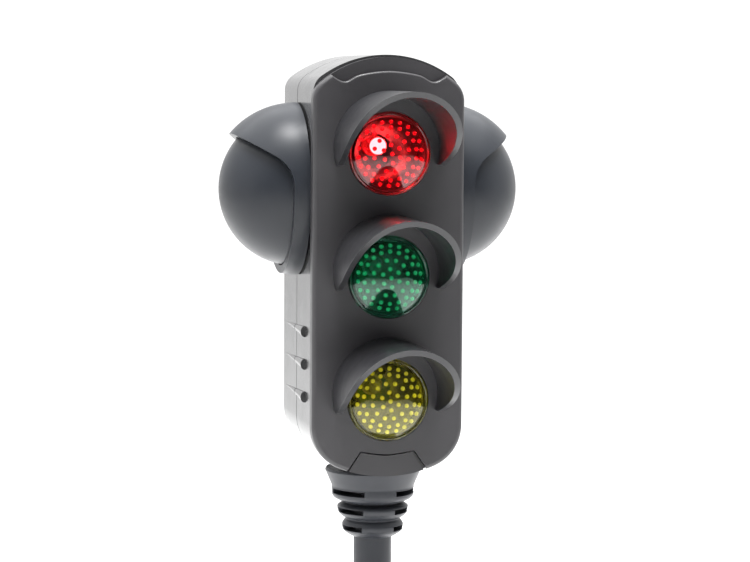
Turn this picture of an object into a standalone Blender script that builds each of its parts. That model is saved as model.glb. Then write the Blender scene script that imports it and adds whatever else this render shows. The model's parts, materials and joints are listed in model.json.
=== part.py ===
"""Desk-size traffic signal head on a moulded cable, as an assembly of separate pieces.

Frame: metres, +Z up, the lights face -Y. The origin is the centre of the flat back face, which is
what holds the head up. Lengths below are in millimetres and pass through MM.
"""
import math

import bmesh
import bpy
from mathutils import Matrix, Vector

MM = 0.001
GAP = 0.3

# Driving dimensions, in millimetres
DEPTH = 34.0                    # front of the panel to the back face
PANEL_HALF = 13.6
PANEL_THICK = 2.4
PANEL_SHAPE = dict(half=PANEL_HALF, top=37.0, arch=18.7, shoulder=4.4, bottom=-37.2, belly=23.0, hip=7.9)
HOUSE_HALF = 13.1
HOUSE_SHAPE = dict(half=HOUSE_HALF, top=37.4, arch=20.0, shoulder=3.4, bottom=-36.8, belly=22.6, hip=7.5)
WALL = 1.5
SEAM = -15.7
BACK_ROUND = 2.4

LIGHT_HEIGHTS = dict(red=20.1, green=-1.65, yellow=-23.4)
LENS_R = 7.25
LENS_BULGE = 3.2
LENS_FLANGE_R = 8.4
POCKET_R = 8.7
POCKET_DEEP = 1.2
VISOR_OUT = 10.0
VISOR_WALL = 1.0
VISOR_RISE = 1.0                # the visor's axis above the lens's axis
VISOR_LONG = 20.3
VISOR_TIP = -3.2                # height of the lower tips from the visor's axis
PEG_ANGLES = (10, 88, 170)

DOME_X = 13.4                   # centre of each side dome's sphere
DOME_Z = 13.2
DOME_R = 14.0
DOME_WALL = 1.3
HOOD_R = 15.6
HOOD_WALL = 1.4
RING_OUT = 2.9                  # how far the hood's base ring stands off
HOOD_EDGE_LOW = 4.5             # height of the hood's edge where it leaves the ring
HOOD_EDGE_RISE = 0.6            # rise of that edge for each millimetre outwards
HOOD_FILLET = 3.0               # rounding between that edge and the ring
STEM_R = 2.0

GILL_HEIGHTS = (-12.1, -18.0, -23.9)
BOOT_Y = -21.5
CABLE_D = 7.0
BOOT_END = -49.8
BOARD_FRONT = -19.4
BOARD_THICK = 1.6
POSTS = ((8.5, 31.0), (8.5, -30.7))
BOARD_POSTS = ((-8.0, 9.2), (8.0, -12.5))

# The unseen cable: two turns of a tied hank, hanging in line with the object
HANK_TOP = -64.0
HANK_WAVE = 16 * CABLE_D        # height of one side, from loop centre to loop centre
LOOP_R = 3 * CABLE_D            # end loops, at the middle of the cable
WAIST = 0.55 * CABLE_D          # where the tie pulls the two sides together
LAYER = 1.05 * CABLE_D          # from one turn to the next, towards the front
LAYERS = 3
HANK_ROOM = 0.2
TIE_HIGH = 9.0
TIE_THICK = 1.3
TAIL_END = -234.0
PLUG_LONG = 24.0
PLUG_WIDE = 15.5
PLUG_THICK = 8.0
SHELL_WIDE = 12.0
SHELL_THICK = 4.5
SHELL_OUT = 13.8
SHELL_IN = 2.7

TURN_STEPS = 24

MATERIALS = {
    "charcoal": ((0.029, 0.029, 0.031), 0.36, 0.0),
    "red_clear": ((0.62, 0.02, 0.03), 0.08, 0.0),
    "green_clear": ((0.02, 0.35, 0.16), 0.08, 0.0),
    "yellow_clear": ((0.70, 0.60, 0.04), 0.08, 0.0),
    "silvered": ((0.75, 0.75, 0.74), 0.25, 0.9),
    "led_epoxy": ((0.85, 0.85, 0.82), 0.10, 0.0),
    "board_green": ((0.03, 0.16, 0.08), 0.45, 0.0),
    "chip_black": ((0.03, 0.03, 0.03), 0.50, 0.0),
    "wire_red": ((0.40, 0.05, 0.04), 0.40, 0.0),
    "steel": ((0.60, 0.60, 0.60), 0.30, 1.0),
    "cable_grey": ((0.026, 0.028, 0.033), 0.42, 0.0),
    "tie_black": ((0.02, 0.02, 0.02), 0.60, 0.0),
    "plug_white": ((0.80, 0.80, 0.78), 0.40, 0.0),
    "gold": ((0.80, 0.60, 0.25), 0.25, 1.0),
}


def clear_scene():
    for thing in list(bpy.data.objects):
        bpy.data.objects.remove(thing, do_unlink=True)


def new_collection(name):
    folder = bpy.data.collections.new(name)
    bpy.context.scene.collection.children.link(folder)
    return folder


def material(name):
    found = bpy.data.materials.get(name)
    if found:
        return found
    colour, roughness, metallic = MATERIALS[name]
    made = bpy.data.materials.new(name)
    made.use_nodes = True
    shader = made.node_tree.nodes["Principled BSDF"]
    shader.inputs["Base Color"].default_value = (*colour, 1.0)
    shader.inputs["Roughness"].default_value = roughness
    shader.inputs["Metallic"].default_value = metallic
    return made


def place(thing, folder, finish=None):
    """Moves an object into a collection and gives it its material."""
    for other in list(thing.users_collection):
        other.objects.unlink(thing)
    folder.objects.link(thing)
    if finish:
        thing.data.materials.clear()
        thing.data.materials.append(material(finish))
    return thing


def as_tool(thing):
    """Marks an object as a cutter or an addition, which is not a piece of its own."""
    place(thing, TOOLS)
    thing.hide_render = True
    thing.display_type = "WIRE"
    return thing


def combine(target, tool, operation):
    as_tool(tool)
    step = target.modifiers.new(operation.lower(), "BOOLEAN")
    step.operation = operation
    step.solver = "EXACT"
    step.object = tool


def cut(target, *tools):
    for tool in tools:
        combine(target, tool, "DIFFERENCE")


def join(target, *tools):
    for tool in tools:
        combine(target, tool, "UNION")


def box(name, low, high):
    low, high = Vector(low) * MM, Vector(high) * MM
    bpy.ops.mesh.primitive_cube_add(size=1, location=(low + high) / 2)
    thing = bpy.context.object
    thing.name = name
    for corner in thing.data.vertices:
        corner.co = [corner.co[i] * (high[i] - low[i]) for i in range(3)]
    return thing


def rod(name, radius, start, end, axis="Y", sides=TURN_STEPS, radius_end=None):
    """A cylinder or cone from start to end, which differ along one axis only."""
    start, end = Vector(start) * MM, Vector(end) * MM
    turns = {"X": (0, math.pi / 2, 0), "Y": (-math.pi / 2, 0, 0), "Z": (0, 0, 0)}
    bpy.ops.mesh.primitive_cone_add(
        vertices=sides, radius1=radius * MM,
        radius2=(radius if radius_end is None else radius_end) * MM,
        depth=(end - start).length, location=(start + end) / 2, rotation=turns[axis])
    thing = bpy.context.object
    thing.name = name
    return thing


def curve_to_mesh(thing):
    """Turns a curve object into a welded mesh object of the same name."""
    bpy.context.view_layer.update()
    seen = thing.evaluated_get(bpy.context.evaluated_depsgraph_get())
    mesh = bpy.data.meshes.new_from_object(seen)
    net = bmesh.new()
    net.from_mesh(mesh)
    bmesh.ops.remove_doubles(net, verts=net.verts, dist=1e-6)
    net.to_mesh(mesh)
    net.free()
    name, where = thing.name, thing.matrix_world.copy()
    bpy.data.objects.remove(thing, do_unlink=True)
    made = bpy.data.objects.new(name, mesh)
    bpy.context.scene.collection.objects.link(made)
    made.matrix_world = where
    return made


def outline_curve(name, points, smooth_count=0):
    """A flat closed outline in X and Z. The first smooth_count points are a smooth run."""
    data = bpy.data.curves.new(name, "CURVE")
    data.dimensions = "2D"
    data.fill_mode = "BOTH"
    data.resolution_u = 5
    spline = data.splines.new("BEZIER")
    spline.bezier_points.add(len(points) - 1)
    for i, (knot, (x, z)) in enumerate(zip(spline.bezier_points, points)):
        knot.co = (x * MM, z * MM, 0)
        inside = 0 < i < smooth_count - 1
        knot.handle_left_type = knot.handle_right_type = "AUTO" if inside else "VECTOR"
    spline.use_cyclic_u = True
    return data


def prism(name, points, front, back, smooth_count=0):
    """A flat outline in X and Z, carried from y = front to y = back."""
    data = outline_curve(name, points, smooth_count)
    if not smooth_count:
        data.resolution_u = 1
    data.extrude = (back - front) / 2 * MM
    thing = bpy.data.objects.new(name, data)
    bpy.context.scene.collection.objects.link(thing)
    thing.location = (0, (front + back) / 2 * MM, 0)
    thing.rotation_euler = (math.pi / 2, 0, 0)
    return curve_to_mesh(thing)


def arc(centre, radius, start, end, count):
    """Points on an arc in X and Z, with angles in radians from straight up towards +X."""
    return [(centre[0] + radius * math.sin(start + (end - start) * i / count),
             centre[1] + radius * math.cos(start + (end - start) * i / count))
            for i in range(count + 1)]


def bowed(start, pull, end, count):
    """Points on a quadratic curve from start to end, drawn towards the point pull."""
    return [tuple((1 - t) ** 2 * a + 2 * t * (1 - t) * b + t ** 2 * c for a, b, c in zip(start, pull, end))
            for t in (i / count for i in range(count + 1))]


def end_of_tongue(half, tip, bend, corner):
    """Right half of a rounded end: from its tip on the centre line to the straight side."""
    middle = tip - bend
    corner_at = (half - corner, middle + math.sqrt((bend - corner) ** 2 - (half - corner) ** 2))
    meet = math.atan2(corner_at[0], corner_at[1] - middle)
    return (arc((0, middle), bend, 0, meet, 6)
            + arc(corner_at, corner, meet, math.pi / 2, 5)[1:])


def tongue(half, top, arch, shoulder, bottom, belly, hip, inset=0.0):
    """Outline with straight sides, an arched top and a curved bottom, all tangent."""
    upper = end_of_tongue(half - inset, top - inset, arch - inset, shoulder - inset)
    lower = end_of_tongue(half - inset, -bottom - inset, belly - inset, hip - inset)
    right = upper + [(x, -z) for x, z in reversed(lower)]
    left = [(-x, z) for x, z in reversed(right[1:-1])]
    return right + left


def turned(name, profile, centre, axis, steps=TURN_STEPS):
    """A profile of (radius, height) turned about an axis. Its outer side runs top to bottom."""
    mesh = bpy.data.meshes.new(name)
    points = [(r * MM, 0, h * MM) for r, h in profile]
    edges = [(i, i + 1) for i in range(len(points) - 1)]
    if profile[0][0] > 0:
        edges.append((len(points) - 1, 0))
    mesh.from_pydata(points, edges, [])
    thing = bpy.data.objects.new(name, mesh)
    bpy.context.scene.collection.objects.link(thing)
    thing.location = Vector(centre) * MM
    thing.rotation_euler = {"-Y": (math.pi / 2, 0, 0), "Y": (-math.pi / 2, 0, 0), "Z": (0, 0, 0),
                            "X": (0, math.pi / 2, 0), "-X": (0, -math.pi / 2, 0)}[axis]
    turn = thing.modifiers.new("turn", "SCREW")
    turn.axis = "Z"
    turn.angle = math.tau
    turn.steps = turn.render_steps = steps
    turn.use_merge_vertices = True
    turn.merge_threshold = 1e-6
    turn.use_smooth_shade = True
    return thing


def round_edge(thing, at_y, width, segments):
    """Rounds the edges that lie in the plane y = at_y."""
    net = bmesh.new()
    net.from_mesh(thing.data)
    weight = net.edges.layers.float.new("bevel_weight_edge")
    for edge in net.edges:
        heights = [(thing.matrix_world @ v.co).y for v in edge.verts]
        if all(abs(h - at_y * MM) < 1e-6 for h in heights):
            edge[weight] = 1.0
    net.to_mesh(thing.data)
    net.free()
    bevel = thing.modifiers.new("round", "BEVEL")
    bevel.limit_method = "WEIGHT"
    bevel.width = width * MM
    bevel.segments = segments


def smooth(thing):
    thing.data.shade_smooth()
    thing.data.set_sharp_from_angle(angle=math.radians(35))


def make_front_panel():
    front, back = -DEPTH, -DEPTH + PANEL_THICK
    panel = prism("front_panel", tongue(**PANEL_SHAPE), front, back)
    round_edge(panel, front, 0.8, 2)
    lip = [(-11.6, 34.7), (-8.2, 32.7), (-5.2, 33.9), (0, 34.55), (5.2, 33.9), (8.2, 32.7), (11.6, 34.7)]
    above = [(11.6, 42), (-11.6, 42)]
    cut(panel, prism("top_recess", lip + above, front - 1, front + 1.2, smooth_count=len(lip)))
    smile = [(-4.9, -32.5), (0, -33.1), (4.9, -32.5)]
    below = [(8.0, -37.0), (8.0, -41), (-8.0, -41), (-8.0, -37.0)]
    cut(panel, prism("low_recess", smile + below, front - 1, front + 0.9, smooth_count=len(smile)))
    for colour, z in LIGHT_HEIGHTS.items():
        cut(panel, rod("hole_" + colour, LENS_R + GAP, (0, front - 1, z), (0, back + 1, z)),
            rod("pocket_" + colour, POCKET_R, (0, back - POCKET_DEEP, z), (0, back + 1, z)))
        for peg, (x, height) in enumerate(peg_places(z)):
            cut(panel, rod(f"peg_hole_{colour}_{peg}", 0.75, (x, front - 1, height),
                           (x, back + 1, height), sides=8))
    return place(panel, OBJECT, "charcoal")


def peg_places(light_z):
    radius = VISOR_OUT - VISOR_WALL / 2
    return [(radius * math.cos(math.radians(a)), light_z + VISOR_RISE + radius * math.sin(math.radians(a)))
            for a in PEG_ANGLES]


def make_visor(colour, light_z):
    axis_z = light_z + VISOR_RISE
    base, tip = -DEPTH - GAP, -DEPTH - VISOR_LONG
    inner = VISOR_OUT - VISOR_WALL
    profile = [(VISOR_OUT, VISOR_LONG), (VISOR_OUT, GAP), (inner, GAP), (inner, VISOR_LONG)]
    visor = turned("visor_" + colour, profile, (0, -DEPTH, axis_z), "-Y", steps=36)
    # What is cut away: all that lies below and before the curved edge of each side
    edge = bowed((GAP + 0.6, VISOR_TIP), (16.0, 0.5), (VISOR_LONG, VISOR_OUT), 8)
    beyond = [(VISOR_LONG + 5, VISOR_OUT + 1), (VISOR_LONG + 5, -VISOR_OUT - 2), (-1, -VISOR_OUT - 2),
              (-1, VISOR_TIP - 1)]
    away = prism("opening_" + colour, edge + beyond, -VISOR_OUT - 2, VISOR_OUT + 2)
    away.matrix_world = (Matrix.Translation(Vector((0, -DEPTH, axis_z)) * MM)
                         @ Matrix.Rotation(-math.pi / 2, 4, "Z") @ away.matrix_world)
    cut(visor, away)
    for peg, (x, height) in enumerate(peg_places(light_z)):
        join(visor, rod(f"peg_{colour}_{peg}", 0.42, (x, base - 1.0, height),
                        (x, -DEPTH + PANEL_THICK - 0.2, height), sides=8))
    smooth(visor)
    return place(visor, OBJECT, "charcoal")


def make_lens(colour, z):
    skirt = PANEL_THICK - POCKET_DEEP + GAP
    foot = PANEL_THICK - 0.1
    sphere = (LENS_R ** 2 + LENS_BULGE ** 2) / (2 * LENS_BULGE)
    inner_r = LENS_R - 1.0
    inner_sphere = (inner_r ** 2 + (LENS_BULGE - 0.9) ** 2) / (2 * (LENS_BULGE - 0.9))
    outside = [(sphere * math.sin(a), LENS_BULGE - sphere * (1 - math.cos(a)))
               for a in fan(math.asin(LENS_R / sphere), 6)]
    inside = [(inner_sphere * math.sin(a), LENS_BULGE - 0.9 - inner_sphere * (1 - math.cos(a)))
              for a in fan(math.asin(inner_r / inner_sphere), 5)]
    profile = (outside + [(LENS_R, -skirt), (LENS_FLANGE_R, -skirt), (LENS_FLANGE_R, -foot), (inner_r, -foot)]
               + inside[::-1])
    lens = turned("lens_" + colour, profile, (0, -DEPTH, z), "-Y")
    return place(lens, OBJECT, colour + "_clear")


def fan(end, count):
    """Angles from zero to end, both kept."""
    return [end * i / count for i in range(count + 1)]


def make_reflector(colour, z):
    """A flanged cup: it passes through the front wall and narrows back towards its lamp."""
    profile = [(7.7, 31.2), (7.7, 29.5), (8.9, 29.5), (8.9, 28.7), (7.5, 28.7), (3.9, 22.5),
               (3.0, 22.5), (6.7, 28.9), (6.9, 31.2)]
    return place(turned("reflector_" + colour, profile, (0, 0, z), "-Y"), OBJECT, "silvered")


def make_led(colour, z):
    foot = -BOARD_FRONT + GAP
    dome = [(1.5 * math.sin(a), foot + 3.5 + 1.5 * math.cos(a)) for a in fan(math.pi / 2, 4)]
    profile = dome + [(1.5, foot + 1.0), (1.9, foot + 1.0), (1.9, foot), (0, foot)]
    return place(turned("led_" + colour, profile, (0, 0, z + VISOR_RISE), "-Y", steps=20), OBJECT, "led_epoxy")


def gill(name, side, z, front, back):
    """One length of a raised tapering rib on a side wall, blunt in front and gone at its rear end."""
    blunt, gone = -23.8, -4.4
    radius = [1.0 * (gone - y) / (gone - blunt) for y in (front, back)]
    thing = rod(name, radius[0], (side * HOUSE_HALF, front, z), (side * HOUSE_HALF, back, z),
                sides=16, radius_end=max(radius[1], 0.03))
    thing.scale = (0.75, 1.0, 1.0)
    return thing


def make_housing_front():
    front, back = -DEPTH + PANEL_THICK + GAP, SEAM - GAP / 2
    shell = prism("housing_front", tongue(**HOUSE_SHAPE), front, back)
    cut(shell, prism("front_hollow", tongue(**HOUSE_SHAPE, inset=WALL), front + WALL, back + 1))
    for i, (x, z) in enumerate(POSTS):
        for side in (-1, 1):
            join(shell, rod(f"post_{i}_{side}", 2.0, (side * x, front + 0.7, z), (side * x, back - 0.1, z), sides=20))
            cut(shell, rod(f"pilot_{i}_{side}", 1.05, (side * x, SEAM - 8, z), (side * x, SEAM + 1, z), sides=12))
    for i, (x, z) in enumerate(BOARD_POSTS):
        join(shell, rod(f"board_post_{i}", 1.8, (x, front + 0.7, z), (x, BOARD_FRONT - GAP, z), sides=16))
        cut(shell, rod(f"board_pilot_{i}", 1.0, (x, -26, z), (x, BOARD_FRONT + 1, z), sides=12))
    for colour, z in LIGHT_HEIGHTS.items():
        cut(shell, rod("port_" + colour, 8.1, (0, front - 1, z), (0, front + WALL + 1, z)))
    finish_housing(shell, "front", -23.8, back - 0.05)
    return place(shell, OBJECT, "charcoal")


def make_housing_rear():
    front, back = SEAM + GAP / 2, 0.0
    shell = prism("housing_rear", tongue(**HOUSE_SHAPE), front, back)
    round_edge(shell, back, BACK_ROUND, 4)
    cut(shell, prism("rear_hollow", tongue(**HOUSE_SHAPE, inset=WALL), front - 1, back - WALL))
    for i, (x, z) in enumerate(POSTS):
        for side in (-1, 1):
            join(shell, rod(f"pillar_{i}_{side}", 3.2, (side * x, front + 0.1, z), (side * x, back - 1.2, z), sides=20))
            cut(shell, rod(f"bore_{i}_{side}", 1.25, (side * x, front - 1, z), (side * x, back - 8, z), sides=12))
            cut(shell, rod(f"well_{i}_{side}", 2.3, (side * x, back - 9, z), (side * x, back + 1, z), sides=16))
    finish_housing(shell, "rear", front + 0.05, -4.4)
    return place(shell, OBJECT, "charcoal")


def finish_housing(shell, half, rib_front, rib_back):
    """The ribs, dome holes and cable hole that the seam divides between the two halves."""
    for side in (-1, 1):
        for i, z in enumerate(GILL_HEIGHTS):
            join(shell, gill(f"gill_{half}_{side}_{i}", side, z, rib_front, rib_back))
        cut(shell, rod(f"stem_hole_{half}_{side}", STEM_R + GAP, (side * 10, SEAM, DOME_Z), (side * 20, SEAM, DOME_Z),
                       axis="X", sides=20))
    cut(shell, rod(f"cable_hole_{half}", 4.3, (0, BOOT_Y, -39), (0, BOOT_Y, -33), axis="Z", sides=24))


def quarter(radius, low, high, count):
    """Points on a sphere's section, from the height high down to the height low."""
    top, end = math.acos(high / radius), math.acos(low / radius)
    angles = [top + (end - top) * i / count for i in range(count + 1)]
    return [(radius * math.sin(a) if a > 1e-6 else 0.0, radius * math.cos(a)) for a in angles]


def make_dome(name, side):
    inner = DOME_R - DOME_WALL
    seat = 1.1
    profile = (quarter(DOME_R, seat, DOME_R, 7)
               + quarter(inner, seat, math.sqrt(inner ** 2 - STEM_R ** 2), 4)[::-1]
               + [(STEM_R, -2.1), (3.2, -2.1), (3.2, -3.1), (0, -3.1)])
    dome = turned(name, profile, (side * DOME_X, SEAM, DOME_Z), "X" if side > 0 else "-X")
    return place(dome, OBJECT, "charcoal")


def make_hood(name, side):
    inner = HOOD_R - HOOD_WALL
    plate = 0.8
    profile = (quarter(HOOD_R, 0, HOOD_R, 9) + [(STEM_R + GAP, 0), (STEM_R + GAP, plate)]
               + quarter(inner, plate, inner, 8)[::-1])
    hood = turned(name, profile, (side * DOME_X, SEAM, DOME_Z), "X" if side > 0 else "-X")
    reach = HOOD_R + 2
    rise = HOOD_EDGE_LOW + HOOD_EDGE_RISE * (reach - RING_OUT)
    along = HOOD_EDGE_LOW + HOOD_EDGE_RISE * HOOD_FILLET
    corners = (bowed((RING_OUT, HOOD_EDGE_LOW - 1.2 * HOOD_FILLET), (RING_OUT, HOOD_EDGE_LOW),
                     (RING_OUT + HOOD_FILLET, along), 4)
               + [(reach, rise), (reach, -reach), (RING_OUT, -reach)])
    points = [(side * (DOME_X + x), DOME_Z + z) for x, z in corners]
    cut(hood, prism(name + "_opening", points, SEAM - reach, SEAM + reach))
    return place(hood, OBJECT, "charcoal")


def make_strain_relief():
    """A tapering boot: a flared collar and three bowl-shaped lobes, each slotted between four lengthwise ribs."""
    core = 4.4
    profile = [(0, -33.5), (5.2, -33.5), (5.2, -34.3), (4.0, -34.3), (4.0, -37.2), (8.5, -37.2), (8.7, -37.6),
               (7.5, -40.4), (7.45, -42.2), (7.0, -42.9), (6.1, -43.4), (5.2, -43.5), (6.2, -43.9), (6.5, -44.3),
               (6.3, -45.3), (5.75, -46.0), (4.95, -46.6), (5.35, -47.1), (5.6, -47.7), (5.4, -48.6), (4.6, -49.3),
               (3.7, BOOT_END), (0, BOOT_END)]
    boot = turned("strain_relief", profile, (0, BOOT_Y, 0), "Z")
    for i, z in enumerate((-41.5, -44.9, -48.1)):
        for side in (-1, 1):
            for face in (-1, 1):
                low_x, high_x = sorted((side * 2.9, side * 9.0))
                low_y, high_y = sorted((face * 0.5, face * 9.0))
                name = f"slot_{i}_{side}_{face}"
                slot = box(name, (low_x, BOOT_Y + low_y, z - 0.45), (high_x, BOOT_Y + high_y, z + 0.45))
                cut(slot, rod(name + "_core", core - 0.35 * i, (0, BOOT_Y, z - 2), (0, BOOT_Y, z + 2),
                              axis="Z", sides=20))
                cut(boot, slot)
    smooth(boot)
    return place(boot, OBJECT, "cable_grey")


def make_board():
    back = BOARD_FRONT + BOARD_THICK
    board = box("circuit_board", (-9.5, BOARD_FRONT, -28.2), (9.5, back, 28.2))
    for i, (x, z) in enumerate(BOARD_POSTS):
        cut(board, rod(f"board_hole_{i}", 1.1, (x, BOARD_FRONT - 1, z), (x, back + 1, z), sides=12))
    return place(board, OBJECT, "board_green")


def make_board_components():
    """A driver chip, a resistor for each lamp and two capacitors, all on the back of the board."""
    face = BOARD_FRONT + BOARD_THICK + GAP
    place(box("driver_chip", (-2.5, face, 2.0), (2.5, face + 1.5, 8.0)), OBJECT, "chip_black")
    for colour, z in zip(LIGHT_HEIGHTS, (-4.0, -7.0, -18.0)):
        place(box("resistor_" + colour, (3.0, face, z - 0.8), (6.2, face + 0.6, z + 0.8)), OBJECT, "chip_black")
    for i, z in enumerate((14.0, 19.0), start=1):
        place(rod(f"capacitor_{i}", 2.0, (-5.0, face, z), (-5.0, face + 4.5, z), sides=16), OBJECT, "silvered")


def tube(name, points, radius, finish, resolution):
    """A round wire through a list of points."""
    data = bpy.data.curves.new(name, "CURVE")
    data.dimensions = "3D"
    data.bevel_depth = radius * MM
    data.bevel_resolution = resolution
    data.use_fill_caps = True
    spline = data.splines.new("POLY")
    spline.points.add(len(points) - 1)
    for knot, (x, y, z) in zip(spline.points, points):
        knot.co = (x * MM, y * MM, z * MM, 1)
    return place(bpy.data.objects.new(name, data), OBJECT, finish)


def make_lead_wires():
    """Four cores that leave the cable inside the boot and turn forward into the board's back."""
    for i, x in enumerate((-1.5, -0.5, 0.5, 1.5), start=1):
        spread = 2.0 * x
        tube(f"lead_wire_{i}", [(x, BOOT_Y, -33.2), (x, BOOT_Y + 0.4, -32.0), (1.2 * x, BOOT_Y + 2.4, -30.4),
                                (1.6 * x, -15.1, -28.6), (spread, -14.8, -26.8), (spread, -15.6, -25.4),
                                (spread, -17.45, -25.0)], 0.38, "wire_red", 1)


def screw(name, head_r, shank_r, length, head):
    """A pan-head screw that points to -Y, with the top of its head at the point head."""
    profile = [(0, 0), (head_r - 0.4, 0), (head_r, -0.45), (head_r, -1.3), (shank_r, -1.3),
               (shank_r, 0.6 - length), (0, -length)]
    return place(turned(name, profile, head, "Y", steps=14), OBJECT, "steel")


def make_screws():
    places = [(side * x, z) for x, z in POSTS for side in (-1, 1)]
    for i, (x, z) in enumerate(places, start=1):
        screw(f"housing_screw_{i}", 2.0, 0.75, 14.2, (x, -7.4, z))
    head_y = BOARD_FRONT + BOARD_THICK + GAP + 1.3
    for i, (x, z) in enumerate(BOARD_POSTS, start=1):
        screw(f"board_screw_{i}", 1.7, 0.7, 8.0, (x, head_y, z))


def hank_half(offset, count=18):
    """Right half of the hank's outline, from its top to its bottom, offset from the cable's middle."""
    loop_top = HANK_TOP - LOOP_R - CABLE_D / 2
    loop_low = loop_top - HANK_WAVE
    swing = (LOOP_R - WAIST) / 2
    points = arc((0, loop_top), LOOP_R + offset, 0, math.pi / 2, 8)
    for i in range(1, count):
        angle = math.tau * i / count
        points.append((WAIST + swing * (1 + math.cos(angle)) + offset, loop_top - HANK_WAVE * i / count))
    return points + arc((0, loop_low), LOOP_R + offset, math.pi / 2, math.pi, 8)


def make_cable_hank():
    offset = CABLE_D / 2 + HANK_ROOM
    right = hank_half(offset)
    left = [(-x, z) for x, z in reversed(right[1:-1])]
    back = BOOT_Y + CABLE_D / 2 + HANK_ROOM
    front = BOOT_Y - (LAYERS - 1) * LAYER - CABLE_D / 2 - HANK_ROOM
    return place(prism("cable_hank", right + left, front, back), OBJECT, "cable_grey")


def make_cable_tie():
    """A flat strap round the waist of the hank."""
    middle_z = HANK_TOP - LOOP_R - CABLE_D / 2 - HANK_WAVE / 2
    middle_y = BOOT_Y - (LAYERS - 1) * LAYER / 2
    half_x = WAIST + CABLE_D / 2 + HANK_ROOM + 0.75
    half_y = (LAYERS - 1) * LAYER / 2 + CABLE_D / 2 + HANK_ROOM + GAP
    low, high = middle_z - TIE_HIGH / 2, middle_z + TIE_HIGH / 2
    strap = box("cable_tie", (-half_x - TIE_THICK, middle_y - half_y - TIE_THICK, low),
                (half_x + TIE_THICK, middle_y + half_y + TIE_THICK, high))
    cut(strap, box("tie_hole", (-half_x, middle_y - half_y, low - 1), (half_x, middle_y + half_y, high + 1)))
    return place(strap, OBJECT, "tie_black")


def make_plug():
    x, y = WAIST, BOOT_Y - (LAYERS - 1) * LAYER
    low = TAIL_END - PLUG_LONG
    body = box("plug_body", (x - PLUG_WIDE / 2, y - PLUG_THICK / 2, low),
               (x + PLUG_WIDE / 2, y + PLUG_THICK / 2, TAIL_END - GAP))
    bevel = body.modifiers.new("round", "BEVEL")
    bevel.width = 1.2 * MM
    bevel.segments = 2
    half_w, half_t = SHELL_WIDE / 2, SHELL_THICK / 2
    cut(body, box("plug_pocket", (x - half_w - GAP, y - half_t - GAP, low - 1),
                  (x + half_w + GAP, y + half_t + GAP, low + SHELL_IN + GAP)))
    place(body, OBJECT, "charcoal")

    top, end = low + SHELL_IN, low - SHELL_OUT
    shell = box("plug_shell", (x - half_w, y - half_t, end), (x + half_w, y + half_t, top))
    wall = 0.45
    cut(shell, box("shell_hollow", (x - half_w + wall, y - half_t + wall, end - 1),
                   (x + half_w - wall, y + half_t - wall, top - wall)))
    place(shell, OBJECT, "steel")

    tongue_back = y + half_t - wall - GAP
    tongue_front = tongue_back - 1.4
    insulator = box("plug_insulator", (x - half_w + wall + GAP, tongue_front, end + 0.6),
                    (x + half_w - wall - GAP, tongue_back, top - wall - GAP))
    place(insulator, OBJECT, "plug_white")
    for i in range(4):
        middle = x + 2.5 * (i - 1.5)
        place(box(f"plug_contact_{i + 1}", (middle - 0.5, tongue_front - 0.6, end + 1.4),
                  (middle + 0.5, tongue_front - GAP, top - 4.0)), OBJECT, "gold")


def make_cable():
    run_end = HANK_TOP + HANK_ROOM + GAP
    run_start = BOOT_END - GAP
    run = [(0, BOOT_Y, run_start + (run_end - run_start) * i / 3) for i in range(4)]
    tube("cable_run", run, CABLE_D / 2, "cable_grey", 3)
    x, y = WAIST, BOOT_Y - (LAYERS - 1) * LAYER
    hank_end = HANK_TOP - 2 * LOOP_R - CABLE_D - HANK_WAVE - HANK_ROOM - GAP
    tail = [(x, y, hank_end + (TAIL_END - hank_end) * i / 2) for i in range(3)]
    tube("cable_tail", tail, CABLE_D / 2, "cable_grey", 3)


clear_scene()
OBJECT = new_collection("traffic_signal_head")
TOOLS = new_collection("tools")
make_front_panel()
make_housing_front()
make_housing_rear()
for light, height in LIGHT_HEIGHTS.items():
    make_visor(light, height)
    make_lens(light, height)
    make_reflector(light, height)
    make_led(light, height)
for word, hand in (("left", -1), ("right", 1)):
    make_dome("dome_" + word, hand)
    make_hood("hood_" + word, hand)
make_strain_relief()
make_board()
make_board_components()
make_lead_wires()
make_screws()
make_cable()
make_cable_hank()
make_cable_tie()
make_plug()
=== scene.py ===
"""Looks for the desk-size traffic signal head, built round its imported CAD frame.

Metres, +Z up, the lights face -Y. Lengths in the shape functions are in millimetres and pass through MM.
"""
import json
import math

import bmesh
import bpy
from mathutils import Matrix, Vector

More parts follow.
